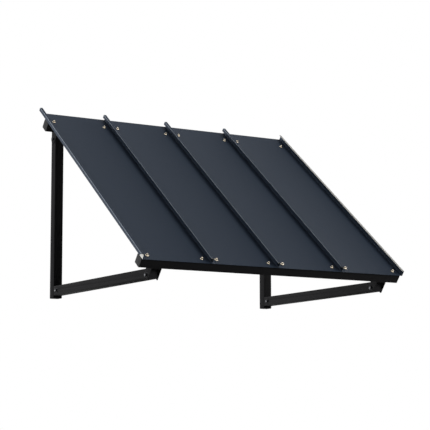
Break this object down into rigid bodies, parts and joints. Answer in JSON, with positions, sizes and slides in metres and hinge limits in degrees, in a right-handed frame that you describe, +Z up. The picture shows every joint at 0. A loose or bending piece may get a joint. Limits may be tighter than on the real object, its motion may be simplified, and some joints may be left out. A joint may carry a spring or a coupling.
{
  "type": "door canopy",
  "caption": "Sloping standing-seam metal roof on two square rails, carried by a pair of wall posts with arms, to keep rain off a doorway.",
  "frame": {"origin": "on the wall plane, midway between the two posts, 26 mm below the arms' centre lines, near the posts' feet", "axes": "+Z up, +Y into the wall, +X to the right for someone who faces the wall"},
  "size_m": [1.231, 0.9447, 0.8129],
  "materials": {
    "pan_paint": "slate grey coil coat, low gloss, off-white on the back",
    "frame_coat": "black powder coat, satin, fine orange peel",
    "end_cap": "moulded grey plastic",
    "foot_plug": "moulded black plastic",
    "panel_screw": "yellow zinc plated",
    "black_bolt": "zinc plated with a black chromate film"
  },
  "bodies": {
    "root": {"arm_cap_left": "end_cap", "arm_cap_right": "end_cap", "arm_left": "frame_coat", "arm_right": "frame_coat", "arm_socket_left": "frame_coat", "arm_socket_right": "frame_coat", "foot_bolt_left": "black_bolt", "foot_bolt_right": "black_bolt", "foot_nut_left": "black_bolt", "foot_nut_right": "black_bolt", "foot_plug_left": "foot_plug", "foot_plug_right": "foot_plug", "front_bolt_left": "black_bolt", "front_bolt_right": "black_bolt", "front_lug_left": "frame_coat", "front_lug_right": "frame_coat", "front_nut_left": "black_bolt", "front_nut_right": "black_bolt", "front_rail": "frame_coat", "front_rail_cap_left": "end_cap", "front_rail_cap_right": "end_cap", "front_screw_1": "panel_screw", "front_screw_2": "panel_screw", "front_screw_3": "panel_screw", "front_screw_4": "panel_screw", "front_screw_5": "panel_screw", "front_screw_6": "panel_screw", "front_screw_7": "panel_screw", "front_screw_8": "panel_screw", "pan_1": "pan_paint", "pan_2": "pan_paint", "pan_3": "pan_paint", "pan_4": "pan_paint", "post_left": "frame_coat", "post_right": "frame_coat", "top_bolt_left": "black_bolt", "top_bolt_right": "black_bolt", "top_lug_left": "frame_coat", "top_lug_right": "frame_coat", "top_nut_left": "black_bolt", "top_nut_right": "black_bolt", "top_rail": "frame_coat", "top_rail_cap_left": "end_cap", "top_rail_cap_right": "end_cap", "top_screw_1": "panel_screw", "top_screw_2": "panel_screw", "top_screw_3": "panel_screw", "top_screw_4": "panel_screw", "top_screw_5": "panel_screw", "top_screw_6": "panel_screw", "top_screw_7": "panel_screw", "top_screw_8": "panel_screw"}
  },
  "joints": []
}
